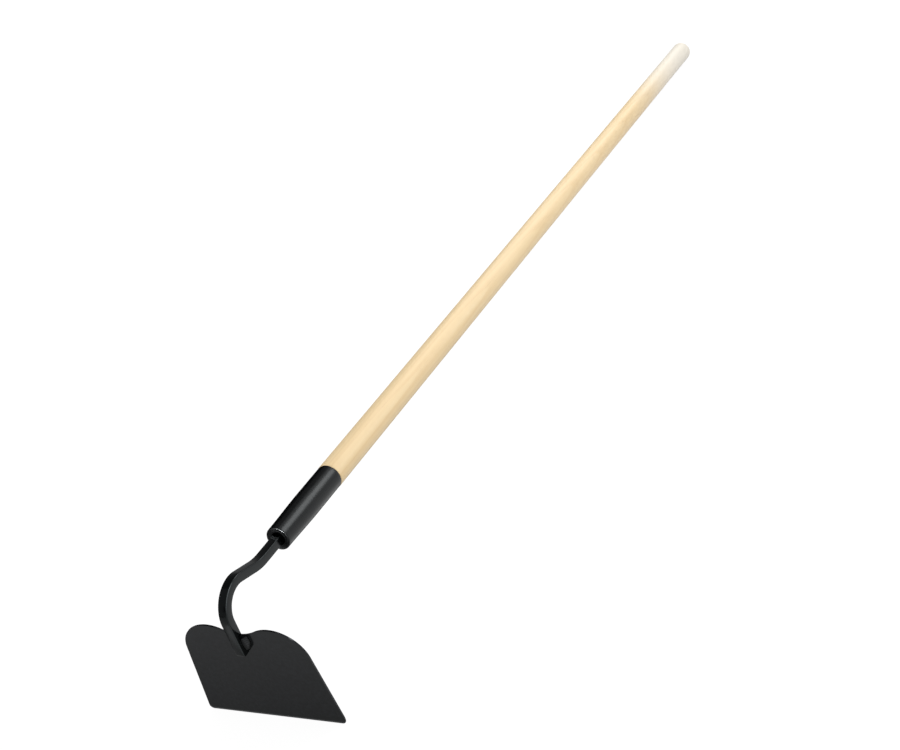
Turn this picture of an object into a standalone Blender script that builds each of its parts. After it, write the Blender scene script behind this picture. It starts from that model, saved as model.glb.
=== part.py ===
"""Garden hoe: heart-shouldered steel blade, square swan-neck shank, tubular ferrule, ash handle.

Metres, +Z up. The hoe lies as it does on a floor, on its cutting edge and the far end of
its handle, with the handle running towards +X. The origin is on that floor, under the
middle of the hoe.

The pieces are drawn in the hoe's own frame first: x runs along the handle's axis, with
zero at the ferrule's nose, and z points away from the cutting edge. The empty "stance"
then tips the whole hoe onto the floor. The blade, the end of the foot and the welds are
drawn in the frame of the empty "blade_seat", which leans with the blade: its origin is
the middle of the cutting edge on the outer face, x points to the user and z up the blade.
"""

import math

import bmesh
import bpy
from mathutils import Matrix, Vector

# Handle
HANDLE_DIAMETER = 0.0286
HANDLE_LENGTH = 1.3288          # from its foot inside the ferrule to the far end
HANDLE_END_ROUND = 0.0055       # radius of the rounded edge at the far end
HANDLE_END_CROWN = 0.0015       # how far the middle of the far end stands proud
SHOULDER_CHAMFER = 0.0005       # on the edge of the wood above the ferrule

# Ferrule
FERRULE_LENGTH = 0.1141
FERRULE_TOP_DIAMETER = 0.0282
FERRULE_NOSE_DIAMETER = 0.0261
FERRULE_WALL = 0.0018
SWAGE_LENGTH = 0.062            # the stretch over which the nose narrows
NOSE_ROUND = 0.0013             # outer rounding of the nose, where its wall is turned in
NOSE_DISH = 0.0003              # how far the turned-in wall sinks back round its opening
NOSE_OPENING = 0.0148           # diameter left open for the shank
FOOT_RECESS = 0.012             # how deep the foot of the wood sits behind the nose

# Shank: one square bar, bent twice in one plane, with a tapered tang
BAR_WIDTH = 0.0095
BAR_ARRIS = 0.0008              # radius of the bar's edges
NECK_START = 0.0308             # straight length between the nose and the first bend
RISE_RADIUS = 0.066
RISE_ANGLE = math.radians(15.8)
RISE_LENGTH = 0.0249            # straight length between the two bends
CROOK_RADIUS = 0.0265
FOOT_END_ROUND = 0.0030         # the foot's end is rounded down to the blade
TANG_LENGTH = 0.078             # tapered length inside the wood
TANG_TIP_WIDTH = 0.0050
TANG_HOLE_SPARE = 0.003         # hole left past the tang's tip

# Blade
BLADE_TILT = math.radians(6.3)  # the cutting edge is drawn in towards the user
BLADE_THICKNESS = 0.0020
BLADE_DROP = 0.1485             # down the outer face, from the handle's axis to the edge
BLADE_HEIGHT = 0.1179           # cutting edge to the top of the lobes
EDGE_WIDTH = 0.15875            # across the cutting edge, between its sharp corners
EDGE_CORNER = 0.0045
LOBE_RADIUS = 0.0357
LOBE_SPACING = 0.0693           # centre to centre
VALLEY_DEPTH = 0.0085           # the dip between the lobes
PLATE_ROUND = 0.0004            # rounding of the stamped plate's edges
GROUND_LENGTH = 0.0075          # the sharpened strip on the inner face
EDGE_LAND = 0.0006              # thickness left at the cutting edge
FOOT_LAP = 0.0200               # how far the foot runs down past the valley

# Weld beads, one on each side of the foot
BEAD_RISE = 0.0050              # up the side of the foot
BEAD_SPREAD = 0.0052            # out along the blade
BEAD_LENGTH = 0.0166
BEAD_DROP = 0.0082              # from the valley down to the bead's middle

# Fits
SEAT_GAP = 0.0003               # between pieces that touch
WOOD_FIT = 0.0003               # between wood and steel, all round
CUT_SPARE = 0.004               # how far a cutter reaches past what it cuts

# Facets
TURNED_STEPS = 64
ARC_STEP = math.radians(6)
SWAGE_STEPS = 12
CROWN_STEPS = 3
ARRIS_STEPS = 3
BEAD_STEPS = 24
PLATE_ROUND_STEPS = 2
SHARP_ANGLE = math.radians(35)
PLATE_ROUND_ANGLE = math.radians(60)
MERGE = 0.00001

QUARTER = math.radians(90)


def clear_scene():
    for obj in list(bpy.data.objects):
        bpy.data.objects.remove(obj, do_unlink=True)


def new_collection(name):
    collection = bpy.data.collections.new(name)
    bpy.context.scene.collection.children.link(collection)
    return collection


def link_only(obj, collection):
    for old in list(obj.users_collection):
        old.objects.unlink(obj)
    collection.objects.link(obj)


def add_empty(name, collection, parent=None):
    empty = bpy.data.objects.new(name, None)
    empty.parent = parent
    collection.objects.link(empty)
    return empty


def make_material(name, color, roughness, metallic=0.0):
    material = bpy.data.materials.new(name)
    material.use_nodes = True
    shader = material.node_tree.nodes["Principled BSDF"]
    shader.inputs["Base Color"].default_value = (*color, 1.0)
    shader.inputs["Roughness"].default_value = roughness
    shader.inputs["Metallic"].default_value = metallic
    material.diffuse_color = (*color, 1.0)
    return material


def finish_piece(obj, material, parent, collection):
    """Give a piece its material, smooth shading with sharp corners, parent and collection."""
    obj.data.materials.clear()
    obj.data.materials.append(material)
    obj.data.shade_smooth()
    obj.data.set_sharp_from_angle(angle=SHARP_ANGLE)
    obj.parent = parent
    link_only(obj, collection)
    return obj


def finish_cutter(obj, parent, collection):
    obj.parent = parent
    obj.hide_render = True
    obj.display_type = 'WIRE'
    link_only(obj, collection)
    return obj


def boolean(obj, other, operation):
    modifier = obj.modifiers.new(other.name, 'BOOLEAN')
    modifier.operation = operation
    modifier.solver = 'EXACT'
    modifier.object = other


def arc(centre, radius, start, end):
    """Points along an arc from the angle start to the angle end, both included."""
    count = max(2, math.ceil(abs(end - start) / ARC_STEP))
    points = []
    for i in range(count + 1):
        angle = start + (end - start) * i / count
        points.append(Vector((centre[0] + radius * math.cos(angle),
                              centre[1] + radius * math.sin(angle))))
    return points


def add_spline(curve, points, cyclic, radii=None):
    spline = curve.splines.new('POLY')
    spline.points.add(len(points) - 1)
    for i, point in enumerate(points):
        spline.points[i].co = (*point, 1.0)
        if radii:
            spline.points[i].radius = radii[i]
    spline.use_cyclic_u = cyclic


def flat_outline(name, points, thickness):
    """A closed flat outline drawn in x and y, as a filled curve of the given thickness."""
    curve = bpy.data.curves.new(name, 'CURVE')
    curve.dimensions = '2D'
    curve.fill_mode = 'BOTH'
    curve.extrude = thickness / 2
    add_spline(curve, [(x, y, 0.0) for x, y in points], True)
    obj = bpy.data.objects.new(name, curve)
    bpy.context.scene.collection.objects.link(obj)
    return obj


def curve_to_mesh(obj):
    """Replace a curve object by its evaluated surface, closed at the caps."""
    bpy.context.view_layer.update()
    evaluated = obj.evaluated_get(bpy.context.evaluated_depsgraph_get())
    mesh = bpy.data.meshes.new_from_object(evaluated)
    solid = bmesh.new()
    solid.from_mesh(mesh)
    bmesh.ops.remove_doubles(solid, verts=solid.verts, dist=MERGE)
    bmesh.ops.recalc_face_normals(solid, faces=solid.faces)
    solid.to_mesh(mesh)
    solid.free()
    name = obj.name
    matrix = obj.matrix_world.copy()
    bpy.data.objects.remove(obj, do_unlink=True)
    mesh.name = name
    made = bpy.data.objects.new(name, mesh)
    made.matrix_world = matrix
    bpy.context.scene.collection.objects.link(made)
    return made


def side_cutter(name, points, width, parent, collection):
    """A cutter drawn in side view, in x and z, and reaching width across."""
    outline = flat_outline(name, points, width)
    outline.rotation_euler = (QUARTER, 0.0, 0.0)
    return finish_cutter(curve_to_mesh(outline), parent, collection)


def turned(name, profile, closed):
    """A shape turned about x. The profile is (x, radius), from the far end to the nose."""
    points = [(radius, 0.0, x) for x, radius in profile]
    edges = [(i, i + 1) for i in range(len(points) - 1)]
    if closed:
        edges.append((len(points) - 1, 0))
    mesh = bpy.data.meshes.new(name)
    mesh.from_pydata(points, edges, [])
    obj = bpy.data.objects.new(name, mesh)
    obj.rotation_euler = (0.0, QUARTER, 0.0)
    screw = obj.modifiers.new("turn", 'SCREW')
    screw.axis = 'Z'
    screw.angle = 4 * QUARTER
    screw.steps = TURNED_STEPS
    screw.render_steps = TURNED_STEPS
    screw.use_merge_vertices = True
    screw.merge_threshold = MERGE
    return obj


# Lines and places that more than one piece takes its shape from

def ferrule_radius(x):
    """Outer radius of the ferrule, x from its nose."""
    nose = FERRULE_NOSE_DIAMETER / 2
    body = FERRULE_TOP_DIAMETER / 2
    t = min(max(x / SWAGE_LENGTH, 0.0), 1.0)
    return nose + (body - nose) * t * t * (3.0 - 2.0 * t)


def ferrule_stations(start, end):
    """Places along the ferrule where its profile has a point, close together in the swage."""
    reach = min(max(SWAGE_LENGTH, start), end)
    places = [start + (reach - start) * i / SWAGE_STEPS for i in range(SWAGE_STEPS + 1)]
    if reach < end:
        places.append(end)
    return places


def tang_width(x):
    """Width across the tang, which tapers from the foot of the wood."""
    return BAR_WIDTH + (TANG_TIP_WIDTH - BAR_WIDTH) * (x - FOOT_RECESS) / TANG_LENGTH


def neck_route():
    """Centre line of the bar, in x and z, from the nose to where the foot begins."""
    route = [Vector((0.0, 0.0))]
    # first bend, upwards from the handle's axis
    rise_centre = (-NECK_START, RISE_RADIUS)
    route += arc(rise_centre, RISE_RADIUS, -QUARTER, -QUARTER - RISE_ANGLE)
    rising = Vector((-math.cos(RISE_ANGLE), math.sin(RISE_ANGLE)))
    top = route[-1] + rising * RISE_LENGTH
    # second bend, the crook, round to the blade's own direction
    crook_centre = top + Vector((-math.sin(RISE_ANGLE), -math.cos(RISE_ANGLE))) * CROOK_RADIUS
    return route + arc(crook_centre, CROOK_RADIUS, QUARTER - RISE_ANGLE, 2 * QUARTER + BLADE_TILT)


def blade_directions():
    """Unit vectors in x and z: down the blade, and out of its outer face."""
    down = Vector((math.sin(BLADE_TILT), -math.cos(BLADE_TILT)))
    outward = Vector((-math.cos(BLADE_TILT), -math.sin(BLADE_TILT)))
    return down, outward


def edge_point():
    """Middle of the cutting edge on the outer face, below the foot that carries the blade."""
    down, outward = blade_directions()
    on_face = neck_route()[-1] - outward * (BAR_WIDTH / 2 + SEAT_GAP)
    at_axis = on_face + down * (on_face.y / math.cos(BLADE_TILT))
    return at_axis + down * BLADE_DROP


def foot_end_height():
    """Height of the foot's end above the cutting edge, along the blade."""
    return BLADE_HEIGHT - VALLEY_DEPTH - FOOT_LAP


def end_corner():
    """Centre of the round at the far end of the handle, in x and radius."""
    return (FOOT_RECESS + HANDLE_LENGTH - HANDLE_END_CROWN - HANDLE_END_ROUND,
            HANDLE_DIAMETER / 2 - HANDLE_END_ROUND)


def rest_tilt():
    """Angle by which the hoe tips onto its cutting edge and the far end of its handle."""
    x, radius = end_corner()
    span = Vector((x, -radius)) - edge_point()
    return math.atan2(span.y, span.x) - math.asin(HANDLE_END_ROUND / span.length)


# The pieces

def tang_hole(parent, collection):
    """Cutter for the tapered square hole, open at the foot of the wood."""
    start = FOOT_RECESS - CUT_SPARE
    end = FOOT_RECESS + TANG_LENGTH + TANG_HOLE_SPARE
    half_diagonals = [(tang_width(x) / 2 + WOOD_FIT) * math.sqrt(2) for x in (start, end)]
    bpy.ops.mesh.primitive_cone_add(vertices=4, radius1=half_diagonals[0],
                                    radius2=half_diagonals[1], depth=end - start)
    cutter = bpy.context.object
    cutter.name = "tang_hole"
    cutter.data.transform(Matrix.Rotation(QUARTER, 4, 'Y') @ Matrix.Rotation(QUARTER / 2, 4, 'Z'))
    cutter.location = ((start + end) / 2, 0.0, 0.0)
    return finish_cutter(cutter, parent, collection)


def make_handle(material, parent, pieces, cutters):
    radius = HANDLE_DIAMETER / 2
    far_end = FOOT_RECESS + HANDLE_LENGTH
    shoulder = FERRULE_LENGTH + SEAT_GAP
    corner = end_corner()
    # the far end is a shallow crown, then a rounded edge
    crown_radius = (corner[1] ** 2 + HANDLE_END_CROWN ** 2) / (2 * HANDLE_END_CROWN)
    profile = []
    for i in range(CROWN_STEPS + 1):
        r = corner[1] * i / CROWN_STEPS
        profile.append((far_end - crown_radius + math.sqrt(crown_radius ** 2 - r ** 2), r))
    profile += arc(corner, HANDLE_END_ROUND, 0.0, QUARTER)[1:]
    profile.append((shoulder + SHOULDER_CHAMFER, radius))
    profile.append((shoulder, radius - SHOULDER_CHAMFER))
    # the spigot fills the ferrule
    for x in reversed(ferrule_stations(FOOT_RECESS, shoulder)):
        profile.append((x, ferrule_radius(x) - FERRULE_WALL - WOOD_FIT))
    profile.append((FOOT_RECESS, 0.0))
    handle = finish_piece(turned("handle", profile, False), material, parent, pieces)
    boolean(handle, tang_hole(parent, cutters), 'DIFFERENCE')
    return handle


def make_ferrule(material, parent, pieces):
    profile = [(x, ferrule_radius(x)) for x in reversed(ferrule_stations(NOSE_ROUND, FERRULE_LENGTH))]
    shoulder = (NOSE_ROUND, ferrule_radius(NOSE_ROUND) - NOSE_ROUND)
    profile += arc(shoulder, NOSE_ROUND, QUARTER, 2 * QUARTER)[1:]
    edge = FERRULE_WALL / 2
    rim = (NOSE_DISH + edge, NOSE_OPENING / 2 + edge)
    profile += arc(rim, edge, 2 * QUARTER, 4 * QUARTER)
    for x in ferrule_stations(NOSE_DISH + FERRULE_WALL, FERRULE_LENGTH):
        profile.append((x, ferrule_radius(x) - FERRULE_WALL))
    return finish_piece(turned("ferrule", profile, True), material, parent, pieces)


def bar_section(parent, collection):
    """The bar's square section with rounded edges, which is swept along its route."""
    flat = BAR_WIDTH / 2 - BAR_ARRIS
    points = []
    for quarter in range(4):
        middle = QUARTER * (quarter + 0.5)
        x = math.copysign(flat, math.cos(middle))
        y = math.copysign(flat, math.sin(middle))
        for i in range(ARRIS_STEPS + 1):
            angle = QUARTER * (quarter + i / ARRIS_STEPS)
            points.append((x + BAR_ARRIS * math.cos(angle), y + BAR_ARRIS * math.sin(angle), 0.0))
    curve = bpy.data.curves.new("bar_section", 'CURVE')
    curve.dimensions = '2D'
    curve.fill_mode = 'NONE'
    add_spline(curve, points, True)
    section = bpy.data.objects.new("bar_section", curve)
    return finish_cutter(section, parent, collection)


def foot_rounding(seat, collection):
    """Cutter that rounds the foot's end down to the blade."""
    end = foot_end_height()
    face = -(SEAT_GAP + BAR_WIDTH)
    centre = (face + FOOT_END_ROUND, end + FOOT_END_ROUND)
    points = arc(centre, FOOT_END_ROUND, 2 * QUARTER, 3 * QUARTER)
    points.append(Vector((centre[0], end - CUT_SPARE)))
    points.append(Vector((face - CUT_SPARE, end - CUT_SPARE)))
    points.append(Vector((face - CUT_SPARE, centre[1])))
    return side_cutter("foot_rounding", points, 2 * BAR_WIDTH, seat, collection)


def make_shank(material, parent, seat, pieces, cutters):
    down, outward = blade_directions()
    foot_end = edge_point() - down * foot_end_height() + outward * (BAR_WIDTH / 2 + SEAT_GAP)
    tip = FOOT_RECESS + TANG_LENGTH
    route = [Vector((tip, 0.0)), Vector((FOOT_RECESS, 0.0))] + neck_route() + [foot_end]
    scales = [TANG_TIP_WIDTH / BAR_WIDTH] + [1.0] * (len(route) - 1)
    curve = bpy.data.curves.new("shank", 'CURVE')
    curve.dimensions = '3D'
    curve.twist_mode = 'Z_UP'
    curve.bevel_mode = 'OBJECT'
    curve.bevel_object = bar_section(parent, cutters)
    curve.use_fill_caps = True
    add_spline(curve, [(x, z, 0.0) for x, z in route], False, scales)
    bar = bpy.data.objects.new("shank", curve)
    bar.rotation_euler = (QUARTER, 0.0, 0.0)
    bpy.context.scene.collection.objects.link(bar)
    shank = finish_piece(curve_to_mesh(bar), material, parent, pieces)
    boolean(shank, foot_rounding(seat, cutters), 'DIFFERENCE')
    return shank


def blade_outline():
    """The blade's outline with its cutting edge on y = 0, drawn from three tangent arcs a side."""
    lobe = Vector((LOBE_SPACING / 2, BLADE_HEIGHT - LOBE_RADIUS))
    edge_end = Vector((EDGE_WIDTH / 2, 0.0))
    # the side is the line from the edge's end that touches the lobe
    reach = lobe - edge_end
    side = math.atan2(reach.y, reach.x) - math.asin(LOBE_RADIUS / reach.length)
    # corner arc, touching the cutting edge and the side
    tangent_length = EDGE_CORNER / math.tan(side / 2)
    corner = Vector((edge_end.x - EDGE_CORNER * math.tan(side / 2), EDGE_CORNER))
    # valley arc between the lobes, touching them both
    rise = LOBE_RADIUS - VALLEY_DEPTH
    valley_radius = (lobe.x ** 2 + rise ** 2 - LOBE_RADIUS ** 2) / (2 * VALLEY_DEPTH)
    valley = Vector((0.0, lobe.y + rise + valley_radius))
    meet = math.atan2(valley.y - lobe.y, valley.x - lobe.x)
    right = arc(corner, EDGE_CORNER, -QUARTER, side - QUARTER)
    right += arc(lobe, LOBE_RADIUS, side - QUARTER, meet)
    right += arc(valley, valley_radius, meet - 2 * QUARTER, -QUARTER)[1:]
    left = [Vector((-point.x, point.y)) for point in reversed(right[:-1])]
    return right + left


def grinding(seat, collection):
    """Cutter that sharpens the cutting edge from the inner face."""
    slope = Vector((BLADE_THICKNESS - EDGE_LAND, GROUND_LENGTH))
    land = Vector((EDGE_LAND, 0.0))
    low = land - slope
    high = land + slope * 2
    points = [low, Vector((high.x, low.y)), high]
    return side_cutter("grinding", points, EDGE_WIDTH + 2 * CUT_SPARE, seat, collection)


def make_blade(material, seat, pieces, cutters):
    outline = flat_outline("blade", blade_outline(), BLADE_THICKNESS)
    outline.rotation_euler = (QUARTER, 0.0, QUARTER)
    outline.location = (BLADE_THICKNESS / 2, 0.0, 0.0)
    blade = finish_piece(curve_to_mesh(outline), material, seat, pieces)
    rounding = blade.modifiers.new("stamped_edges", 'BEVEL')
    rounding.width = PLATE_ROUND
    rounding.segments = PLATE_ROUND_STEPS
    rounding.limit_method = 'ANGLE'
    rounding.angle_limit = PLATE_ROUND_ANGLE
    boolean(blade, grinding(seat, cutters), 'DIFFERENCE')
    return blade


def make_welds(material, seat, pieces, cutters):
    """A bead in each corner between the foot's side and the blade."""
    middle = BLADE_HEIGHT - VALLEY_DEPTH - BEAD_DROP
    width = 2 * BEAD_SPREAD
    welds = []
    for name, side in (("weld_right", 1), ("weld_left", -1)):
        corner = Vector((0.0, side * BAR_WIDTH / 2, middle))
        bpy.ops.mesh.primitive_uv_sphere_add(segments=BEAD_STEPS, ring_count=BEAD_STEPS)
        bead = bpy.context.object
        bead.name = name
        bead.data.transform(Matrix.Diagonal((BEAD_RISE, BEAD_SPREAD, BEAD_LENGTH / 2, 1.0)))
        bead.location = corner
        # the block is the open corner that the bead fills
        bpy.ops.mesh.primitive_cube_add(size=1.0)
        block = bpy.context.object
        block.name = name + "_corner"
        block.data.transform(Matrix.Diagonal((width, width, 2 * BEAD_LENGTH, 1.0)))
        offset = width / 2 + SEAT_GAP
        block.location = corner + Vector((-offset, side * offset, 0.0))
        finish_cutter(block, seat, cutters)
        boolean(bead, block, 'INTERSECT')
        welds.append(finish_piece(bead, material, seat, pieces))
    return welds


def settle(stance, pieces):
    """Put the lowest point on the floor and the middle of the hoe over the origin."""
    bpy.context.view_layer.update()
    graph = bpy.context.evaluated_depsgraph_get()
    places = []
    for piece in pieces:
        evaluated = piece.evaluated_get(graph)
        matrix = evaluated.matrix_world
        places += [matrix @ vert.co for vert in evaluated.data.vertices]
    across = [place.x for place in places]
    stance.location.x -= (min(across) + max(across)) / 2
    stance.location.z -= min(place.z for place in places)


def build():
    clear_scene()
    pieces = new_collection("garden_hoe")
    cutters = new_collection("garden_hoe_cutters")
    ash_wood = make_material("ash_wood", (0.80, 0.66, 0.46), 0.45)
    ferrule_paint = make_material("ferrule_paint", (0.020, 0.021, 0.023), 0.32)
    shank_paint = make_material("shank_paint", (0.022, 0.023, 0.025), 0.35)
    blade_paint = make_material("blade_paint", (0.028, 0.029, 0.031), 0.45)
    weld_paint = make_material("weld_paint", (0.030, 0.030, 0.032), 0.40)

    stance = add_empty("stance", pieces)
    stance.rotation_euler = (0.0, rest_tilt(), 0.0)
    seat = add_empty("blade_seat", pieces, stance)
    edge = edge_point()
    seat.location = (edge.x, 0.0, edge.y)
    seat.rotation_euler = (0.0, -BLADE_TILT, 0.0)

    made = [
        make_handle(ash_wood, stance, pieces, cutters),
        make_ferrule(ferrule_paint, stance, pieces),
        make_shank(shank_paint, stance, seat, pieces, cutters),
        make_blade(blade_paint, seat, pieces, cutters),
    ]
    made += make_welds(weld_paint, seat, pieces, cutters)
    settle(stance, made)


build()
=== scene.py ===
import math

import bmesh
import bpy
from mathutils import Matrix, Vector


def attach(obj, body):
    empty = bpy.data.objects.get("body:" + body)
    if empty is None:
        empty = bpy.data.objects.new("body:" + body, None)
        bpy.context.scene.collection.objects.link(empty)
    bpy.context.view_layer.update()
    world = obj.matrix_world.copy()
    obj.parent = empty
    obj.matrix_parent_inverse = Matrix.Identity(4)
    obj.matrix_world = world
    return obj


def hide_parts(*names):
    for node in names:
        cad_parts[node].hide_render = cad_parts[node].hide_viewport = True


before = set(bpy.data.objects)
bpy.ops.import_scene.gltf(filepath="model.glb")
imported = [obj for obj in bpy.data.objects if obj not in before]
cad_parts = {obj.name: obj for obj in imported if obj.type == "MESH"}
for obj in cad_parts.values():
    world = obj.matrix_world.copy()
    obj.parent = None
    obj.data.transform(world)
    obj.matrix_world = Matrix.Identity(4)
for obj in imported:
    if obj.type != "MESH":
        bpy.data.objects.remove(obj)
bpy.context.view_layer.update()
print("frame loaded,", len(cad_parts), "nodes")

# All lengths are in metres. The pieces are drawn in the hoe's own frame: x runs along
# the handle with zero at the ferrule's nose, z points away from the cutting edge.
# hoePose lays that frame on the floor, on the cutting edge and the handle's far end.
hoePose = {
    "tilt": math.radians(5.359),
    "nose": (-0.61135, 0.0, 0.13883),
}
hoeMatrix = Matrix.Translation(hoePose["nose"]) @ Matrix.Rotation(hoePose["tilt"], 4, "Y")
quarter = math.radians(90)


# Camera, at the photograph's angle

cameraLook = {
    "location": (-1.58255, -0.87892, 1.03811),
    "rotation": (57.4002, 15.7056, -66.8513),  # degrees
    "lens": 64.8,
    "sensor": 36.0,
    "clip": (0.05, 60.0),
}


def makeCamera(look):
    data = bpy.data.cameras.new("camera")
    data.lens = look["lens"]
    data.sensor_width = look["sensor"]
    data.clip_start, data.clip_end = look["clip"]
    camera = bpy.data.objects.new("camera", data)
    camera.location = look["location"]
    camera.rotation_euler = [math.radians(a) for a in look["rotation"]]
    bpy.context.scene.collection.objects.link(camera)
    bpy.context.scene.camera = camera


makeCamera(cameraLook)
print("camera set")


# Small helpers for meshes

def arc(centre, radius, start, end, step=math.radians(3)):
    # flat points on an arc; step is the widest angle between two of them
    count = max(2, math.ceil(abs(end - start) / step))
    points = []
    for i in range(count + 1):
        a = start + (end - start) * i / count
        x = centre[0] + radius * math.cos(a)
        y = centre[1] + radius * math.sin(a)
        points.append(Vector((x, y)))
    return points


def meshObject(name, mesh, matrix, sharp=35):
    mesh.transform(matrix)
    mesh.shade_smooth()
    mesh.set_sharp_from_angle(angle=math.radians(sharp))
    piece = bpy.data.objects.new(name, mesh)
    bpy.context.scene.collection.objects.link(piece)
    return piece


def closeMesh(name, build):
    # turns the bmesh into a mesh with its faces all facing out
    bmesh.ops.recalc_face_normals(build, faces=build.faces)
    mesh = bpy.data.meshes.new(name)
    build.to_mesh(mesh)
    build.free()
    return mesh


def turnedMesh(name, profile, segments, closed):
    # profile is a list of (x, radius); it is spun about x
    build = bmesh.new()
    rings = []
    for x, radius in profile:
        if radius == 0:
            rings.append([build.verts.new((x, 0, 0))])
            continue
        ring = []
        for i in range(segments):
            a = 4 * quarter * i / segments
            ring.append(build.verts.new((x, radius * math.cos(a), radius * math.sin(a))))
        rings.append(ring)
    pairs = list(zip(rings, rings[1:]))
    if closed:
        pairs.append((rings[-1], rings[0]))
    for ringA, ringB in pairs:
        for i in range(segments):
            j = (i + 1) % segments
            if len(ringA) == 1:
                build.faces.new((ringA[0], ringB[j], ringB[i]))
            elif len(ringB) == 1:
                build.faces.new((ringA[i], ringA[j], ringB[0]))
            else:
                build.faces.new((ringA[i], ringA[j], ringB[j], ringB[i]))
    return closeMesh(name, build)


def ringsToMesh(name, rings, capped=True, mergeDistance=0.0):
    # rings of equal length, joined one to the next; points closer than mergeDistance are merged
    build = bmesh.new()
    rows = [[build.verts.new(p) for p in ring] for ring in rings]
    count = len(rows[0])
    for rowA, rowB in zip(rows, rows[1:]):
        for i in range(count):
            j = (i + 1) % count
            build.faces.new((rowA[i], rowA[j], rowB[j], rowB[i]))
    if capped:
        build.faces.new(rows[0])
        build.faces.new(list(reversed(rows[-1])))
    if mergeDistance:
        bmesh.ops.remove_doubles(build, verts=build.verts, dist=mergeDistance)
    return closeMesh(name, build)


# Small helpers for materials

def newMaterial(name):
    material = bpy.data.materials.new(name)
    material.use_nodes = True
    nodes = material.node_tree.nodes
    return material, nodes, material.node_tree.links, nodes["Principled BSDF"]


def newGroup(name, inputs, outputs):
    group = bpy.data.node_groups.new(name, "ShaderNodeTree")
    for label, kind, value in inputs:
        socket = group.interface.new_socket(label, in_out="INPUT", socket_type=kind)
        socket.default_value = value
    for label, kind in outputs:
        group.interface.new_socket(label, in_out="OUTPUT", socket_type=kind)
    source = group.nodes.new("NodeGroupInput")
    target = group.nodes.new("NodeGroupOutput")
    return group, source, target


def placeGroup(nodes, group, values):
    node = nodes.new("ShaderNodeGroup")
    node.node_tree = group
    for label, value in values.items():
        node.inputs[label].default_value = value
    return node


def feed(tree, socket, value):
    # a number or a colour is set on the socket, and anything else is linked to it
    if isinstance(value, (int, float)):
        socket.default_value = value
    elif isinstance(value, tuple):
        socket.default_value = (*value, 1.0) if socket.type == "RGBA" else value
    else:
        tree.links.new(value, socket)


def addMath(tree, operation, a, b=0.0):
    node = tree.nodes.new("ShaderNodeMath")
    node.operation = operation
    feed(tree, node.inputs[0], a)
    feed(tree, node.inputs[1], b)
    return node.outputs[0]


def addVector(tree, operation, a, b=None):
    # puts out a number for a length or a dot product, and a vector for the rest
    node = tree.nodes.new("ShaderNodeVectorMath")
    node.operation = operation
    feed(tree, node.inputs[0], a)
    if b is not None:
        feed(tree, node.inputs[1], b)
    return node.outputs["Value" if operation in ("LENGTH", "DOT_PRODUCT") else "Vector"]


def addNoise(tree, vector, scale, detail, roughness=0.5):
    node = tree.nodes.new("ShaderNodeTexNoise")
    feed(tree, node.inputs["Vector"], vector)
    feed(tree, node.inputs["Scale"], scale)
    feed(tree, node.inputs["Detail"], detail)
    feed(tree, node.inputs["Roughness"], roughness)
    return node.outputs["Fac"]


def addRange(tree, value, source, target, smooth=False):
    # turns the range source into the range target
    node = tree.nodes.new("ShaderNodeMapRange")
    if smooth:
        node.interpolation_type = "SMOOTHSTEP"
    feed(tree, node.inputs["Value"], value)
    feed(tree, node.inputs["From Min"], source[0])
    feed(tree, node.inputs["From Max"], source[1])
    feed(tree, node.inputs["To Min"], target[0])
    feed(tree, node.inputs["To Max"], target[1])
    return node.outputs["Result"]


def addMix(tree, factor, colorA, colorB):
    node = tree.nodes.new("ShaderNodeMix")
    node.data_type = "RGBA"
    feed(tree, node.inputs[0], factor)
    feed(tree, node.inputs[6], colorA)      # 6, 7 and output 2 are the colour sockets
    feed(tree, node.inputs[7], colorB)
    return node.outputs[2]


def addBump(tree, height, strength, depth, shader):
    bump = tree.nodes.new("ShaderNodeBump")
    bump.inputs["Strength"].default_value = strength
    bump.inputs["Distance"].default_value = depth
    tree.links.new(height, bump.inputs["Height"])
    tree.links.new(bump.outputs["Normal"], shader.inputs["Normal"])


def addSeen(tree):
    # 1 for what the camera, the gloss or glass sees, and 0 for the light that surfaces get
    path = tree.nodes.new("ShaderNodeLightPath").outputs
    seen = addMath(tree, "MAXIMUM", path["Is Camera Ray"], path["Is Glossy Ray"])
    return addMath(tree, "MAXIMUM", seen, path["Is Transmission Ray"])


def addHoePlace(tree):
    # texture coordinates in the hoe's own frame, x along the handle
    place = tree.nodes.new("ShaderNodeTexCoord").outputs["Object"]
    turn = tree.nodes.new("ShaderNodeMapping")
    turn.vector_type = "TEXTURE"
    turn.inputs["Location"].default_value = hoePose["nose"]
    turn.inputs["Rotation"].default_value = (0.0, hoePose["tilt"], 0.0)
    tree.links.new(place, turn.inputs["Vector"])
    return turn.outputs[0]


# Shared effects

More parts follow.
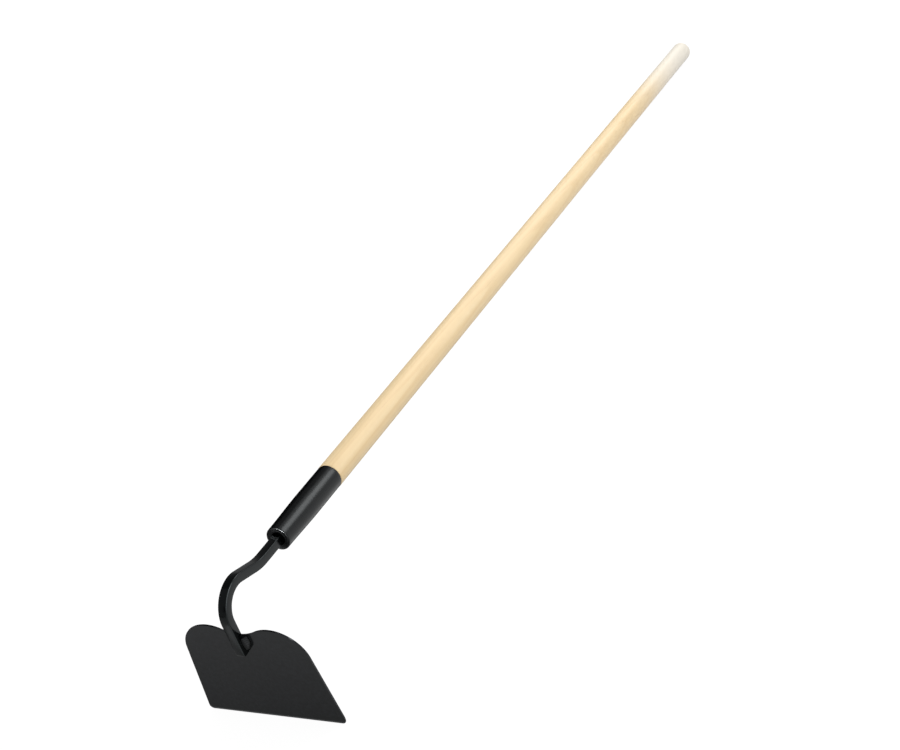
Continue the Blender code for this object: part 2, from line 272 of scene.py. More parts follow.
def makePaintSkin():
    # sprayed enamel: a soft orange peel, a finer speckle and faint cloudy tone
    group, source, target = newGroup(
        "paintSkin",
        [("Peel Size", "NodeSocketFloat", 350.0), ("Speckle Size", "NodeSocketFloat", 2400.0),
         ("Speckle", "NodeSocketFloat", 0.5), ("Mottle", "NodeSocketFloat", 0.0),
         ("Gloss Low", "NodeSocketFloat", 0.25), ("Gloss High", "NodeSocketFloat", 0.35)],
        [("Height", "NodeSocketFloat"), ("Roughness", "NodeSocketFloat"),
         ("Tone", "NodeSocketFloat")])
    given = source.outputs
    place = addHoePlace(group)
    peel = addNoise(group, place, given["Peel Size"], detail=2.0)
    speckle = addNoise(group, place, given["Speckle Size"], detail=1.0)
    cloud = addNoise(group, place, scale=14.0, detail=3.0, roughness=0.6)
    fine = addMath(group, "MULTIPLY", speckle, given["Speckle"])
    height = addMath(group, "ADD", peel, fine)
    cloudShare = addMath(group, "MULTIPLY", cloud, 0.6)
    peelShare = addMath(group, "MULTIPLY", peel, 0.4)
    uneven = addMath(group, "ADD", cloudShare, peelShare)
    gloss = addRange(group, uneven, (0.3, 0.7), (given["Gloss Low"], given["Gloss High"]))
    tone = group.nodes.new("ShaderNodeMix")
    feed(group, tone.inputs[0], given["Mottle"])
    feed(group, tone.inputs[2], cloud)
    feed(group, tone.inputs[3], peel)
    group.links.new(height, target.inputs["Height"])
    group.links.new(gloss, target.inputs["Roughness"])
    group.links.new(tone.outputs[0], target.inputs["Tone"])
    return group


def makeAshGrain():
    # straight grained ash: growth rings round a pith that lies beside the handle,
    # broken by wandering, with short pores in the early wood
    group, source, target = newGroup(
        "ashGrain",
        [("Ring Spacing", "NodeSocketFloat", 0.0031),
         ("Pith Offset", "NodeSocketVector", (0.0, 0.03, 0.02)),
         ("Wander", "NodeSocketFloat", 0.0022), ("Pore Amount", "NodeSocketFloat", 0.5)],
        [("Rings", "NodeSocketFloat"), ("Pores", "NodeSocketFloat"),
         ("Streaks", "NodeSocketFloat"), ("Height", "NodeSocketFloat")])
    given = source.outputs
    place = addHoePlace(group)
    # each stretch below draws the pattern out along the handle
    slow = addVector(group, "MULTIPLY", place, (1.3, 22.0, 22.0))
    wander = addNoise(group, slow, scale=1.0, detail=3.0, roughness=0.55)
    shifted = addVector(group, "ADD", place, given["Pith Offset"])
    flat = addVector(group, "MULTIPLY", shifted, (0.035, 1.0, 1.0))
    away = addVector(group, "LENGTH", flat)
    reach = addMath(group, "MULTIPLY", given["Wander"], 6.0)
    radius = addMath(group, "ADD", away, addMath(group, "MULTIPLY", wander, reach))
    phase = addMath(group, "DIVIDE", radius, given["Ring Spacing"])
    phase = addMath(group, "FRACT", phase)
    # early wood is a sharp dark start that fades into pale late wood
    fade = addRange(group, phase, (0.0, 0.55), (1.0, 0.0), smooth=True)
    start = addRange(group, phase, (0.93, 1.0), (0.0, 1.0), smooth=True)
    rings = addMath(group, "MAXIMUM", fade, start)
    fine = addVector(group, "MULTIPLY", place, (26.0, 1900.0, 1900.0))
    poreNoise = addNoise(group, fine, scale=1.0, detail=2.0, roughness=0.6)
    pores = addRange(group, poreNoise, (0.60, 0.72), (0.0, 1.0), smooth=True)
    poreShare = addMath(group, "MULTIPLY", rings, given["Pore Amount"])
    pores = addMath(group, "MULTIPLY", pores, poreShare)
    drawn = addVector(group, "MULTIPLY", place, (3.0, 260.0, 260.0))
    streaks = addNoise(group, drawn, scale=1.0, detail=4.0, roughness=0.6)
    height = addMath(group, "SUBTRACT", addMath(group, "MULTIPLY", streaks, 0.4), pores)
    group.links.new(rings, target.inputs["Rings"])
    group.links.new(pores, target.inputs["Pores"])
    group.links.new(streaks, target.inputs["Streaks"])
    group.links.new(height, target.inputs["Height"])
    return group


paintSkin = makePaintSkin()
ashGrain = makeAshGrain()
print("shared shader groups made")


def makeEnamel(name, look):
    material, nodes, links, shader = newMaterial(name)
    tree = material.node_tree
    skin = placeGroup(nodes, paintSkin, {
        "Peel Size": look["peelSize"], "Speckle Size": look["speckleSize"],
        "Speckle": look["speckle"], "Mottle": look["mottle"],
        "Gloss Low": look["gloss"][0], "Gloss High": look["gloss"][1]})
    tone = addRange(tree, skin.outputs["Tone"], (0.35, 0.65), (0.0, 1.0))
    color = addMix(tree, tone, look["dark"], look["light"])
    links.new(color, shader.inputs["Base Color"])
    links.new(skin.outputs["Roughness"], shader.inputs["Roughness"])
    addBump(tree, skin.outputs["Height"], look["bump"], look["bumpDepth"], shader)
    shader.inputs["Specular IOR Level"].default_value = look["specular"]
    shader.inputs["Specular Tint"].default_value = (*look["tint"], 1.0)
    return material


# Handle, with the ferrule's sizes, since the wood inside follows its bore

handleLook = {
    "diameter": 0.0286,
    "length": 1.3288,
    "recess": 0.012,          # foot of the wood behind the ferrule's nose
    "endRound": 0.0055,
    "endCrown": 0.0015,
    "shoulderChamfer": 0.0005,
    "chamferSoft": (0.0002, 0.00006),   # along and across, where the chamfer begins
    "fit": 0.0003,            # between the wood and the ferrule
    "tuck": 0.004,            # from the ferrule's end to the first ring inside it
    "segments": 96,
    "domeSteps": 8,
    "station": 0.020,         # between rings along the grip
    "innerStation": 0.012,    # and inside the ferrule
    "late": (0.900, 0.692, 0.398),
    "early": (0.790, 0.552, 0.275),
    "pore": (0.56, 0.37, 0.18),
    # painted shade: near black, painted on the foot of the wood inside the ferrule, where it lies
    # in shade
    "paintedShade": (0.004, 0.0035, 0.003),
    # painted light: the far end's colour is washed towards this, for the light that whitens it
    "paintedLightColor": (0.97, 0.93, 0.84),
    "paintedLightReach": (1.08, 1.33),          # where the painted light on the far end begins and ends, from the nose
    "paintedLightWander": 0.05,
    "paintedLightAmount": 0.88,
    "paintedShadeReach": (0.02, 0.03),         # painted shade: how far in from the nose the foot is painted near black, for the shade it lies in inside the ferrule
    "ringSpacing": 0.0034,
    "pith": (0.0, 0.034, -0.022),
    "wander": 0.0016,
    "ringShare": 0.34,
    "streakShare": 0.30,
    "poreAmount": 0.75,
    "poreShare": 0.55,
    "gloss": (0.36, 0.46),
    "bump": 0.18,
    "bumpDepth": 0.00025,
}
ferruleLook = {
    "length": 0.1087,
    "topDiameter": 0.0282,
    "noseDiameter": 0.0261,
    "wall": 0.0018,
    "topEase": 0.0004,
    "swage": 0.062,           # the stretch over which the nose narrows
    "noseRound": 0.0013,
    "noseDish": 0.0003,
    "opening": 0.0148,
    "rimRound": 0.0003,       # at the opening, rubbed back by the turning-in
    "beadProud": 0.00016,     # a faint ring left by the forming tool
    "beadRadius": 0.0090,
    "beadWidth": 0.0005,
    "segments": 128,
    "swageSteps": 30,
    "faceSteps": 16,
    "dishSteps": 6,           # of the face's steps, over which it sinks
    "boreSteps": 12,
    "dark": (0.0020, 0.0022, 0.0026),
    "light": (0.0034, 0.0037, 0.0042),
    "peelSize": 420.0,
    "speckleSize": 2600.0,
    "speckle": 0.1,
    "mottle": 0.0,
    "gloss": (0.24, 0.31),
    "bump": 0.06,
    "bumpDepth": 0.0003,
    "specular": 0.27,
    "tint": (0.93, 0.98, 1.0),
}


def ferruleRadius(x):
    nose = ferruleLook["noseDiameter"] / 2
    body = ferruleLook["topDiameter"] / 2
    t = min(max(x / ferruleLook["swage"], 0.0), 1.0)
    return nose + (body - nose) * t * t * (3 - 2 * t)


def woodRadius(x):
    # the wood inside the ferrule
    return ferruleRadius(x) - ferruleLook["wall"] - handleLook["fit"]


def makeHandle():
    look = handleLook
    radius = look["diameter"] / 2
    farEnd = look["recess"] + look["length"]
    shoulder = ferruleLook["length"] + look["fit"]
    # the far end: a shallow dome, then a rounded edge
    cornerX = farEnd - look["endCrown"] - look["endRound"]
    cornerR = radius - look["endRound"]
    crown = (cornerR ** 2 + look["endCrown"] ** 2) / (2 * look["endCrown"])
    profile = []
    for i in range(look["domeSteps"] + 1):
        r = cornerR * i / look["domeSteps"]
        profile.append((farEnd - crown + math.sqrt(crown ** 2 - r ** 2), r))
    profile += arc((cornerX, cornerR), look["endRound"], 0, quarter, math.radians(9))[1:]
    # the grip, down to the chamfer above the ferrule
    first = shoulder + look["shoulderChamfer"]
    count = int((cornerX - first) / look["station"])
    for i in range(1, count + 1):
        profile.append((cornerX + (first - cornerX) * i / count, radius))
    softAlong, softAcross = look["chamferSoft"]
    profile.append((first - softAlong, radius - softAcross))
    profile.append((shoulder, radius - look["shoulderChamfer"]))
    # the foot, inside the ferrule
    inner = ferruleLook["length"] - look["tuck"]
    while inner > look["recess"]:
        profile.append((inner, woodRadius(inner)))
        inner -= look["innerStation"]
    profile.append((look["recess"], woodRadius(look["recess"])))
    profile.append((look["recess"], 0.0))
    mesh = turnedMesh("ash_handle", profile, look["segments"], False)
    return meshObject("ash_handle", mesh, hoeMatrix)


def makeAshWood():
    look = handleLook
    material, nodes, links, shader = newMaterial("lacqueredAsh")
    tree = material.node_tree
    grain = placeGroup(nodes, ashGrain, {
        "Ring Spacing": look["ringSpacing"], "Pith Offset": look["pith"],
        "Wander": look["wander"], "Pore Amount": look["poreAmount"]})
    place = addHoePlace(tree)
    split = nodes.new("ShaderNodeSeparateXYZ")
    links.new(place, split.inputs[0])
    ring = addMath(tree, "MULTIPLY", grain.outputs["Rings"], look["ringShare"])
    color = addMix(tree, ring, look["late"], look["early"])
    streak = addRange(tree, grain.outputs["Streaks"], (0.35, 0.75), (0.0, look["streakShare"]))
    color = addMix(tree, streak, color, look["early"])
    pore = addMath(tree, "MULTIPLY", grain.outputs["Pores"], look["poreShare"])
    color = addMix(tree, pore, color, look["pore"])
    # painted shade: the foot inside the ferrule is painted near black, for the shade there
    paintedShade = addRange(tree, split.outputs["X"], look["paintedShadeReach"], (1.0, 0.0))
    color = addMix(tree, paintedShade, color, look["paintedShade"])
    # painted light: the wood is painted paler towards its far end, along a wandering line, for
    # the light that whitens it there
    drawn = addVector(tree, "MULTIPLY", place, (7.0, 60.0, 60.0))
    cloud = addNoise(tree, drawn, scale=1.0, detail=2.0)
    paintedLightDrift = addMath(tree, "MULTIPLY", cloud, look["paintedLightWander"])
    along = addMath(tree, "ADD", split.outputs["X"], paintedLightDrift)
    paintedLightShare = addRange(tree, along, look["paintedLightReach"], (0.0, look["paintedLightAmount"]), smooth=True)
    color = addMix(tree, paintedLightShare, color, look["paintedLightColor"])
    links.new(color, shader.inputs["Base Color"])
    sheen = addRange(tree, grain.outputs["Streaks"], (0.3, 0.7), look["gloss"])
    links.new(sheen, shader.inputs["Roughness"])
    addBump(tree, grain.outputs["Height"], look["bump"], look["bumpDepth"], shader)
    return material


handle = makeHandle()
handle.data.materials.append(makeAshWood())
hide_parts("handle")
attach(handle, "root")
print("handle turned")


# Ferrule

def makeFerrule():
    look = ferruleLook
    length = look["length"]
    ease = look["topEase"]
    rounding = look["noseRound"]
    topRadius = ferruleRadius(length)
    profile = [(length, topRadius - look["wall"]), (length, topRadius - ease)]
    profile += arc((length - ease, topRadius - ease), ease, 0, quarter, math.radians(30))[1:]
    for i in range(1, look["swageSteps"] + 1):
        x = length - ease - (length - ease - rounding) * i / look["swageSteps"]
        profile.append((x, ferruleRadius(x)))
    shoulder = (rounding, ferruleRadius(rounding) - rounding)
    profile += arc(shoulder, rounding, quarter, 2 * quarter, math.radians(7))[1:]
    # the turned-in face sinks a little, carries a faint ring and ends in a rounded edge
    edgeRound = look["rimRound"]
    rim = (look["noseDish"] + edgeRound, look["opening"] / 2 + edgeRound)
    for i in range(1, look["faceSteps"]):
        r = shoulder[1] + (rim[1] - shoulder[1]) * i / look["faceSteps"]
        sink = look["noseDish"] * math.sin(quarter * min(i / look["dishSteps"], 1)) ** 2
        offRing = (r - look["beadRadius"]) / look["beadWidth"]
        profile.append((sink - look["beadProud"] * math.exp(-offRing ** 2), r))
    profile += arc(rim, edgeRound, 2 * quarter, 4 * quarter, math.radians(9))
    start = look["noseDish"] + look["wall"]
    for i in range(look["boreSteps"]):
        x = start + (length - start) * i / look["boreSteps"]
        profile.append((x, ferruleRadius(x) - look["wall"]))
    mesh = turnedMesh("steel_ferrule", profile, look["segments"], True)
    return meshObject("steel_ferrule", mesh, hoeMatrix, 50)


ferrule = makeFerrule()
ferrule.data.materials.append(makeEnamel("ferruleEnamel", ferruleLook))
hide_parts("ferrule")
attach(ferrule, "root")
print("ferrule swaged")


# Shank, one square bar bent into the swan neck, with the blade's sizes, since the foot of
# the bar lies on the blade

shankLook = {
    "width": 0.00944,
    "arris": 0.0006,          # radius of the bar's edges
    "leftArris": 0.0011,      # on the left of the foot
    "nearArris": 0.0012,      # between the outer face and the near side
    "neckStart": 0.0308,
    "riseRadius": 0.066,
    "riseAngle": math.radians(15.8),
    "riseLength": 0.0249,
    "crookRadius": 0.0265,
    "footLap": 0.0200,        # how far the foot runs down past the valley
    "footRound": 0.0030,
    "footEase": 0.0004,
    "easeFrom": 0.625,        # share of the rounding after which its sides draw in
    "tangLength": 0.078,
    "tangTip": 0.0050,
    "tangArris": 0.0007,
    "arrisSteps": 6,
    "footSteps": 4,
    "roundSteps": 8,
    "nearFade": 3,            # rings over which the near arris widens, from the nose
    "leftFade": 2,            # and the left one, from the top of the foot
    "dark": (0.0003, 0.0005, 0.0006),
    "light": (0.0007, 0.0010, 0.0012),
    "peelSize": 260.0,
    "speckleSize": 2200.0,
    "speckle": 0.4,
    "mottle": 0.3,
    "gloss": (0.15, 0.20),
    "bump": 0.06,
    "bumpDepth": 0.0003,
    "specular": 0.24,
    "tint": (0.86, 0.97, 1.0),
}
bladeLook = {
    "tilt": math.radians(6.3),
    "thickness": 0.0020,
    "drop": 0.1485,           # down the outer face, from the handle's axis to the edge
    "height": 0.1179,         # from the cutting edge to the top of the lobes
    "edgeWidth": 0.15875,
    "corner": 0.0045,
    "lobeRadius": 0.0357,
    "lobeSpacing": 0.0693,
    "valleyDepth": 0.0085,
    "edgeRound": 0.00028,
    "groundLength": 0.0075,
    "land": 0.0006,           # thickness left at the cutting edge
    "seatGap": 0.0003,        # between the foot or the welds and the plate
    "tolerance": 0.000001,    # points closer than this count as one
    "dark": (0.0, 0.0, 0.0),
    "light": (0.0088, 0.0098, 0.0112),
    "peelSize": 260.0,
    "speckleSize": 1900.0,
    "speckle": 0.9,
    "mottle": 0.75,
    "gloss": (0.10, 0.14),
    "bump": 0.08,
    "bumpDepth": 0.0002,
    "specular": 0.3,
    "tint": (0.90, 0.95, 1.0),
}

# (x, z) down the blade, and out of its outer face
down = Vector((math.sin(bladeLook["tilt"]), -math.cos(bladeLook["tilt"])))
outward = Vector((-math.cos(bladeLook["tilt"]), -math.sin(bladeLook["tilt"])))


def neckRoute():
    # (x, z) of the bar's centre line with its direction, from the nose to the blade
    look = shankLook
    angle = look["riseAngle"]
    route = [(Vector((0.0, 0.0)), Vector((-1.0, 0.0)))]
    riseCentre = Vector((-look["neckStart"], look["riseRadius"]))
    for p in arc(riseCentre, look["riseRadius"], -quarter, -quarter - angle, math.radians(1.2)):
        spoke = (p - riseCentre).normalized()
        route.append((p, Vector((spoke.y, -spoke.x))))
    rising = Vector((-math.cos(angle), math.sin(angle)))
    side = Vector((-math.sin(angle), -math.cos(angle)))
    crookCentre = route[-1][0] + rising * look["riseLength"] + side * look["crookRadius"]
    crookEnd = 2 * quarter + bladeLook["tilt"]
    for p in arc(crookCentre, look["crookRadius"], quarter - angle, crookEnd):
        spoke = (p - crookCentre).normalized()
        route.append((p, Vector((-spoke.y, spoke.x))))
    return route


def edgePoint():
    # middle of the cutting edge on the outer face
    onFace = neckRoute()[-1][0] - outward * (shankLook["width"] / 2 + bladeLook["seatGap"])
    return onFace + down * (onFace.y / math.cos(bladeLook["tilt"]) + bladeLook["drop"])


valleyHeight = bladeLook["height"] - bladeLook["valleyDepth"]
edge = edgePoint()
# blade frame: x out of the inner face towards the user, y across, z up the blade
bladeLean = Matrix.Rotation(-bladeLook["tilt"], 4, "Y")
bladeMatrix = hoeMatrix @ Matrix.Translation((edge.x, 0, edge.y)) @ bladeLean


def barArrises(leftShare=0.0, nearShare=0.0):
    # radius of the bar's four edges in barRing's order; the outer left and the outer near one
    # widen as their share goes from 0 to 1
    plain = shankLook["arris"]
    left = plain + (shankLook["leftArris"] - plain) * leftShare
    near = plain + (shankLook["nearArris"] - plain) * nearShare
    return plain, left, near, plain


def barRing(centre, along, width, arrises, outerCut=0.0, inset=0.0):
    # one rounded square; outerCut lowers the side that faces away from the blade
    side = Vector((-along.y, along.x))          # towards the blade and the underside
    half = width / 2 - inset
    steps = shankLook["arrisSteps"]
    points = []
    for corner, radius in enumerate(arrises):
        middle = quarter * (corner + 0.5)
        cornerU = math.copysign(half - radius, math.cos(middle))
        cornerV = math.copysign(half - radius, math.sin(middle))
        for i in range(steps + 1):
            a = quarter * (corner + i / steps)
            u = cornerU + radius * math.cos(a)
            v = cornerV + radius * math.sin(a)
            u = half - (half - u) * (2 * half - outerCut) / (2 * half)
            p = centre + side * u
            points.append((p.x, v, p.y))
    return points


def makeShank():
    look = shankLook
    width = look["width"]
    back = Vector((-1, 0))
    # the tang, inside the wood
    tip = Vector((handleLook["recess"] + look["tangLength"], 0))
    rings = [barRing(tip, back, look["tangTip"], (look["tangArris"],) * 4)]
    rings.append(barRing(Vector((handleLook["recess"], 0)), back, width, barArrises()))
    # the neck
    route = neckRoute()
    for i, (centre, along) in enumerate(route):
        arrises = barArrises(0.0, min(i / look["nearFade"], 1))
        rings.append(barRing(centre, along, width, arrises))
    # down the foot, its outer side rounded over at the end
    standOff = outward * (width / 2 + bladeLook["seatGap"])
    footEnd = edge - down * (valleyHeight - look["footLap"]) + standOff
    roundStart = footEnd - down * look["footRound"]
    for i in range(1, look["footSteps"] + 1):
        centre = route[-1][0].lerp(roundStart, i / look["footSteps"])
        rings.append(barRing(centre, down, width, barArrises(min(i / look["leftFade"], 1), 1.0)))
    for i in range(1, look["roundSteps"] + 1):
        t = i / look["roundSteps"]
        centre = roundStart + down * (look["footRound"] * math.sin(quarter * t))
        cut = look["footRound"] * (1 - math.cos(quarter * t))
        ease = look["footEase"] * max(0.0, (t - look["easeFrom"]) / (1 - look["easeFrom"])) ** 2
        rings.append(barRing(centre, down, width, barArrises(1.0, 1.0), cut, ease))
    return meshObject("swan_neck_shank", ringsToMesh("swan_neck_shank", rings), hoeMatrix, 40)


shank = makeShank()
shank.data.materials.append(makeEnamel("shankEnamel", shankLook))
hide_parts("shank")
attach(shank, "root")
print("shank bent")


# Blade

def bladeOutline():
    look = bladeLook
    lobe = Vector((look["lobeSpacing"] / 2, look["height"] - look["lobeRadius"]))
    edgeEnd = Vector((look["edgeWidth"] / 2, 0.0))
    reach = lobe - edgeEnd
    # side is the slope of the blade's straight side, which runs into the lobe
    side = math.atan2(reach.y, reach.x) - math.asin(look["lobeRadius"] / reach.length)
    corner = Vector((edgeEnd.x - look["corner"] * math.tan(side / 2), look["corner"]))
    rise = look["lobeRadius"] - look["valleyDepth"]
    valleyRadius = (lobe.x ** 2 + rise ** 2 - look["lobeRadius"] ** 2) / (2 * look["valleyDepth"])
    valley = Vector((0.0, lobe.y + rise + valleyRadius))
    meet = math.atan2(valley.y - lobe.y, valley.x - lobe.x)
    fine = math.radians(2)
    right = arc(corner, look["corner"], -quarter, side - quarter, math.radians(8))
    right += arc(lobe, look["lobeRadius"], side - quarter, meet, fine)
    right += arc(valley, valleyRadius, meet - 2 * quarter, -quarter, fine)[1:]
    return right + [Vector((-p.x, p.y)) for p in reversed(right[:-1])]


def makeBlade():
    look = bladeLook
    outline = bladeOutline()
    build = bmesh.new()
    outer = [build.verts.new((0, p.x, p.y)) for p in outline]
    inner = [build.verts.new((look["thickness"], p.x, p.y)) for p in outline]
    build.faces.new(outer)
    build.faces.new(list(reversed(inner)))
    for i in range(len(outline)):
        j = (i + 1) % len(outline)
        build.faces.new((outer[i], inner[i], inner[j], outer[j]))
    # the ground strip along the cutting edge, on the inner face
    ground = look["groundLength"]
    bmesh.ops.bisect_plane(build, geom=build.verts[:] + build.edges[:] + build.faces[:],
                           dist=look["tolerance"], plane_co=(0, 0, ground), plane_no=(0, 0, 1))
    for vert in build.verts:
        if vert.co.x > look["thickness"] / 2 and vert.co.z < ground - look["tolerance"]:
            vert.co.x = look["land"] + (look["thickness"] - look["land"]) * vert.co.z / ground
    blade = meshObject("heart_blade", closeMesh("heart_blade", build), bladeMatrix, 180)
    rounding = blade.modifiers.new("roundedEdges", "BEVEL")
    rounding.width = look["edgeRound"]
    rounding.segments = 3
    rounding.limit_method = "ANGLE"
    rounding.angle_limit = math.radians(50)
    rounding.harden_normals = True
    return blade


blade = makeBlade()
blade.data.materials.append(makeEnamel("bladeEnamel", bladeLook))
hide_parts("blade")
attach(blade, "root")
print("blade stamped and ground")


# Weld beads, one in each corner between the foot and the blade

weldLook = {
    "rise": 0.0050,           # up the side of the foot
    "spread": 0.0052,         # out along the blade
    "length": 0.0166,
    "top": 0.0002,            # the bead begins this far above the valley's lowest point
    "boxy": 1.30,             # 1 is a round section, 2 a flat one
    "blunt": 0.07,            # share of the length over which the bead starts
    "tail": 0.10,             # and over which it ends
    # share of the full size at the start, where the bead is full, where it begins to thin,
    # and how much it has thinned at the end
    "wide": (0.84, 0.42, 0.45, 0.50),
    "tall": (0.90, 0.40, 0.50, 0.34),
    "ripples": 8,
    "rippleDepth": 0.00013,
    "rippleLag": 0.30,        # how far the ripples trail behind at the middle of the bead
    "lengthSteps": 90,
    "roundSteps": 24,
    "mergeDistance": 0.00002,
    "dark": (0.0003, 0.0004, 0.0005),
    "light": (0.0006, 0.0007, 0.0009),
    "peelSize": 300.0,
    "speckleSize": 2200.0,
    "speckle": 0.5,
    "mottle": 0.5,
    "gloss": (0.14, 0.20),
    "bump": 0.25,
    "bumpDepth": 0.0004,
    "specular": 0.23,
    "tint": (0.92, 0.96, 1.0),
}


def beadShare(t, start, full, thinFrom, thinBy):
    # t runs from 0 to 1 down the bead
    grown = start + (1 - start) * math.sin(quarter * min(t / full, 1.0))
    thinned = max(0.0, (t - thinFrom) / (1 - thinFrom)) ** 1.5
    return grown * (1 - thinBy * thinned)


def makeWeld(name, side):
    # swept down the corner: blunt at the plate's top edge, widest above its middle, then thin
    look = weldLook
    gap = bladeLook["seatGap"]
    cornerY = shankLook["width"] / 2 + gap
    rings = []
    for i in range(look["lengthSteps"] + 1):
        t = (1 - math.cos(2 * quarter * i / look["lengthSteps"])) / 2
        begun = max(0.0, 1 - t / look["blunt"])
        ended = max(0.0, (t - 1 + look["tail"]) / look["tail"])
        ends = math.sqrt(max(0.0, 1 - begun ** 2)) * math.sqrt(max(0.0, 1 - ended ** 2))
        wide = look["spread"] * beadShare(t, *look["wide"]) * ends
        tall = look["rise"] * beadShare(t, *look["tall"]) * ends
        z = valleyHeight + look["top"] - t * look["length"]
        ring = []
        for j in range(look["roundSteps"] + 1):
            a = quarter * j / look["roundSteps"]
            bulge = max(0.0, math.sin(2 * a))
            wave = math.cos(4 * quarter * (look["ripples"] * t + look["rippleLag"] * bulge))
            dip = look["rippleDepth"] / look["rise"] * (0.5 + 0.5 * wave) * math.sqrt(bulge)
            out = wide * (1 - dip) * math.cos(a) ** look["boxy"]
            up = tall * (1 - dip) * math.sin(a) ** look["boxy"]
            ring.append(Vector((-gap - up, side * (cornerY + out), z)))
        ring.append(Vector((-gap, side * cornerY, z)))
        rings.append(ring)
    mesh = ringsToMesh(name, rings, capped=False, mergeDistance=look["mergeDistance"])
    return meshObject(name, mesh, bladeMatrix, 60)


weldEnamel = makeEnamel("weldEnamel", weldLook)
beads = (("bead_right", "weld_right", 1), ("bead_left", "weld_left", -1))
for beadName, nodeName, side in beads:
    bead = makeWeld(beadName, side)
    bead.data.materials.append(weldEnamel)
    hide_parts(nodeName)
    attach(bead, "root")
print("welds laid")


# Floor

floorLook = {
    "size": 14.0,
    "below": 0.0002,
    "bounce": 0.42,           # what the floor gives back to the hoe
    "fibre": 0.01,            # and how much that varies
    "shadowShare": 0.18,      # how much of the seen floor is lit, and so can hold a shadow
    "glow": (0.93, 1.0),      # near the hoe and far from it
    "glowReach": (0.55, 2.2),
    "glowOval": (0.75, 1.0, 1.0),
}


def makeFloor(look):
    # the hoe gets an even grey bounce. What is seen is a white glow, to which the lit floor adds
    # the small share that a shadow can take away
    half = look["size"] / 2
    corners = [(-half, -half, 0), (half, -half, 0), (half, half, 0), (-half, half, 0)]
    mesh = bpy.data.meshes.new("floor")
    mesh.from_pydata(corners, [], [(0, 1, 2, 3)])
    floor = bpy.data.objects.new("floor", mesh)
    floor.location.z = -look["below"]
    bpy.context.scene.collection.objects.link(floor)
    material, nodes, links, shader = newMaterial("palePaper")
    nodes.remove(shader)
    tree = material.node_tree
    place = nodes.new("ShaderNodeTexCoord").outputs["Object"]
    paper = addNoise(tree, place, scale=30.0, detail=4.0)
    tones = (look["bounce"] - look["fibre"], look["bounce"] + look["fibre"])
    bounce = nodes.new("ShaderNodeBsdfDiffuse")
    links.new(addRange(tree, paper, (0.3, 0.7), tones), bounce.inputs["Color"])
    lit = nodes.new("ShaderNodeBsdfDiffuse")
    lit.inputs["Color"].default_value = (*[look["shadowShare"]] * 3, 1.0)
    glow = nodes.new("ShaderNodeEmission")
    away = addVector(tree, "LENGTH", addVector(tree, "MULTIPLY", place, look["glowOval"]))
    spread = addRange(tree, away, look["glowReach"], look["glow"], smooth=True)
    links.new(spread, glow.inputs["Strength"])
    both = nodes.new("ShaderNodeAddShader")
    links.new(lit.outputs[0], both.inputs[0])
    links.new(glow.outputs[0], both.inputs[1])
    pick = nodes.new("ShaderNodeMixShader")
    links.new(addSeen(tree), pick.inputs[0])
    links.new(bounce.outputs[0], pick.inputs[1])
    links.new(both.outputs[0], pick.inputs[2])
    links.new(pick.outputs[0], nodes["Material Output"].inputs["Surface"])
    mesh.materials.append(material)


# Flags: cards that only the gloss sees. Each spans from its corner along a and b. Two glow
# values are the card's light at the start and end of its side a. "only" keeps a flag or a
# lamp for the pieces it names, and "skip" keeps it off them.

flagLook = {
    # a dark wall behind, lighter near the floor
    "wallLow": {
        "corner": (-0.70, 0.50, 0.0), "a": (0.0, 0.0, 0.5), "b": (3.70, 0.0, 0.0),
        "glow": (0.47, 0.14), "skip": "steel_ferrule"},
    "wallHigh": {
        "corner": (-0.70, 0.50, 0.5), "a": (0.0, 0.0, 2.5), "b": (3.70, 0.0, 0.0),
        "glow": 0.14},
    "wallLeft": {
        "corner": (-3.0, 0.50, 0.05), "a": (2.30, 0.0, 0.0), "b": (0.0, 0.0, 2.95),
        "glow": 0.38},
    "wallLeftLow": {
        "corner": (-3.0, 0.50, 0.0), "a": (2.30, 0.0, 0.0), "b": (0.0, 0.0, 0.05),
        "glow": 0.02},
    # the floor in front of the blade, which deepens towards it
    "bladeNear": {
        "corner": (-0.82, -0.08, 0.002), "a": (0.12, 0.0, 0.0), "b": (0.0, 0.7, 0.0),
        "glow": (0.62, 0.32), "skip": "swan_neck_shank steel_ferrule"},
    "bladeFar": {
        "corner": (-1.42, -0.08, 0.002), "a": (0.60, 0.0, 0.0), "b": (0.0, 0.7, 0.0),
        "glow": 0.62, "skip": "steel_ferrule"},
    # a shade on the floor beyond the handle
    "floorLeft": {
        "corner": (-0.60, 0.012, 0.001), "a": (2.1, 0.0, 0.0), "b": (0.0, 0.48, 0.0),
        "glow": 0.0},
    # small bright ones for the edges of the bar and of the ferrule's nose
    "crookEdge": {
        "corner": (-0.74, -0.81, 0.745), "a": (0.26, 0.0, 0.0), "b": (0.0, 0.09, 0.10),
        "glow": 32.0, "only": "swan_neck_shank"},
    "footEdge": {
        "corner": (-0.92, -0.17, 0.004), "a": (0.18, 0.0, 0.0), "b": (0.0, 0.12, 0.0),
        "glow": 1.7},
    "noseLeft": {
        "corner": (-1.481, 0.480, 0.285), "a": (-0.040, -0.075, 0.005),
        "b": (0.075, -0.045, 0.29), "glow": 145.0, "only": "steel_ferrule"},
    "noseRight": {
        "corner": (-1.583, 0.212, 0.225), "a": (-0.027, -0.135, -0.105),
        "b": (0.039, -0.170, 0.295), "glow": 300.0, "only": "steel_ferrule"},
}
flagFelt = ((0.001, 0.001, 0.001), (0.003, 0.003, 0.003))


def linkLight(light, look):
    for key, state in (("only", "INCLUDE"), ("skip", "EXCLUDE")):
        if key in look:
            lit = bpy.data.collections.new(light.name + "Lights")
            for pieceName in look[key].split():
                lit.objects.link(bpy.data.objects[pieceName])
            for member in lit.collection_objects:
                member.light_linking.link_state = state
            light.light_linking.receiver_collection = lit


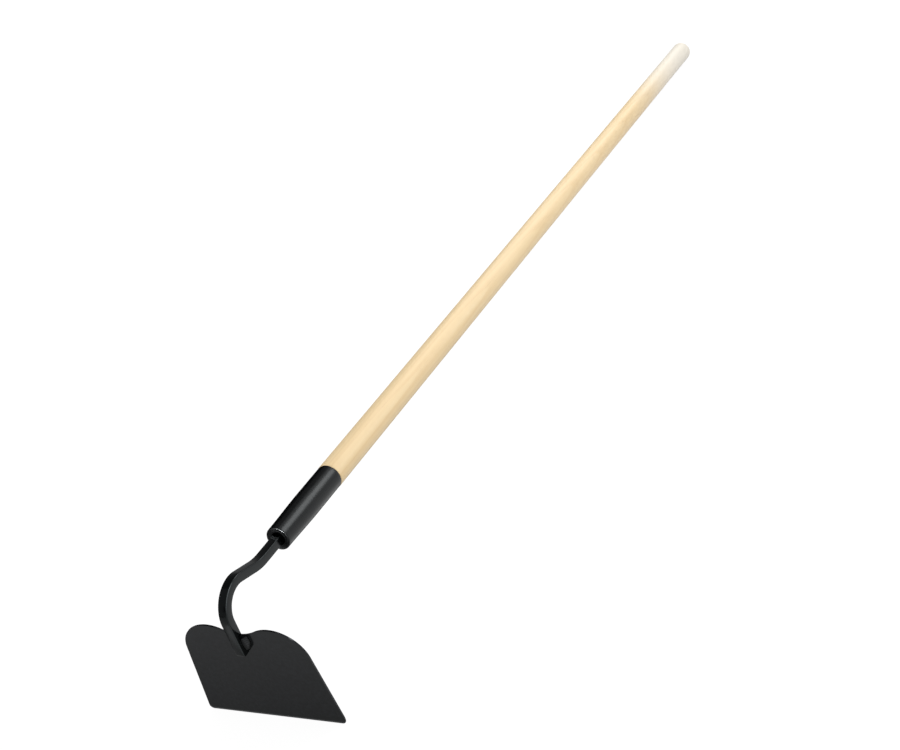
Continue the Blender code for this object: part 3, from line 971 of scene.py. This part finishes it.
def makeFlag(name, look):
    corner, a, b = (Vector(look[key]) for key in ("corner", "a", "b"))
    mesh = bpy.data.meshes.new(name)
    mesh.from_pydata([corner, corner + a, corner + a + b, corner + b], [], [(0, 1, 2, 3)])
    flag = bpy.data.objects.new(name, mesh)
    bpy.context.scene.collection.objects.link(flag)
    material, nodes, links, shader = newMaterial(name)
    tree = material.node_tree
    place = nodes.new("ShaderNodeTexCoord").outputs["Object"]
    felt = addNoise(tree, place, scale=900.0, detail=2.0)
    links.new(addMix(tree, felt, *flagFelt), shader.inputs["Base Color"])
    glow = look["glow"]
    if isinstance(glow, tuple):
        along = addVector(tree, "DOT_PRODUCT", place, tuple(a / a.length_squared))
        start = corner.dot(a) / a.length_squared
        glow = addRange(tree, along, (start, start + 1), glow)
    feed(tree, shader.inputs["Emission Strength"], glow)
    shader.inputs["Emission Color"].default_value = (1, 1, 1, 1)
    shader.inputs["Specular IOR Level"].default_value = 0.0
    shader.inputs["Roughness"].default_value = 1.0
    mesh.materials.append(material)
    linkLight(flag, look)
    flag.visible_camera = False
    flag.visible_diffuse = False
    flag.visible_shadow = False
    flag.visible_transmission = False


# Lamps, each aimed from its place. A size is across and along the handle. "gloss" marks a
# lamp that a piece only reflects.

lampLook = {
    "steelStrip": {
        "place": (0.394, -0.661, 0.918), "aim": (-0.55, 0.0, 0.13), "size": (0.60, 0.80),
        "glow": 4.7, "skip": "ash_handle"},
    "handleLow": {
        "place": (-0.15, -0.92, 0.50), "aim": (-0.15, 0.0, 0.09), "size": (0.35, 2.40),
        "glow": 2.55, "only": "ash_handle"},
    "handleHigh": {
        "place": (-0.15, 0.62, 0.88), "aim": (-0.15, 0.0, 0.09), "size": (0.35, 2.40),
        "glow": 2.1, "only": "ash_handle"},
    "handleSheen": {
        "place": (0.21, -0.031, 0.178), "aim": (0.1625, 0.106, -0.3315), "size": (0.42, 1.32),
        "glow": 1.7, "only": "ash_handle", "gloss": True},
    "farEnd": {
        "place": (1.00, -0.12, 0.60), "aim": (0.70, 0.0, 0.03), "size": (0.3, 0.3),
        "glow": 2.2, "only": "ash_handle"},
    "barEdge": {
        "place": (-0.75, -0.88, 0.62), "aim": (-0.75, 0.0, 0.50), "size": (1.20, 1.10),
        "glow": 4.2, "only": "swan_neck_shank", "gloss": True},
    "footFront": {
        "place": (-0.79, 0.014, 0.004), "aim": (-0.79, 0.014, 0.5), "size": (0.21, 0.21),
        "glow": 0.46, "only": "swan_neck_shank", "gloss": True},
}


def makeLamp(name, look):
    data = bpy.data.lights.new(name, "AREA")
    data.shape = "RECTANGLE"
    data.size, data.size_y = look["size"]
    data.energy = math.pi * look["glow"] * data.size * data.size_y
    lamp = bpy.data.objects.new(name, data)
    lamp.location = look["place"]
    ray = Vector(look["aim"]) - Vector(look["place"])
    lamp.rotation_euler = ray.to_track_quat("-Z", "X").to_euler()
    lamp.visible_camera = False
    lamp.visible_diffuse = "gloss" not in look
    bpy.context.scene.collection.objects.link(lamp)
    linkLight(lamp, look)


# World, white where it is seen and a plain soft light elsewhere

roomLook = {"ambient": 0.54, "seen": 1.0}


def makeWorld(look):
    world = bpy.data.worlds.new("studio")
    bpy.context.scene.world = world
    world.use_nodes = True
    tree = world.node_tree
    background = tree.nodes["Background"]
    background.inputs["Color"].default_value = (1, 1, 1, 1)
    strength = addRange(tree, addSeen(tree), (0.0, 1.0), (look["ambient"], look["seen"]))
    tree.links.new(strength, background.inputs["Strength"])


makeFloor(floorLook)
for flagName, look in flagLook.items():
    makeFlag(flagName, look)
for lampName, look in lampLook.items():
    makeLamp(lampName, look)
makeWorld(roomLook)
bpy.context.scene.view_settings.view_transform = "Standard"
print("floor, flags, lamps and world set")
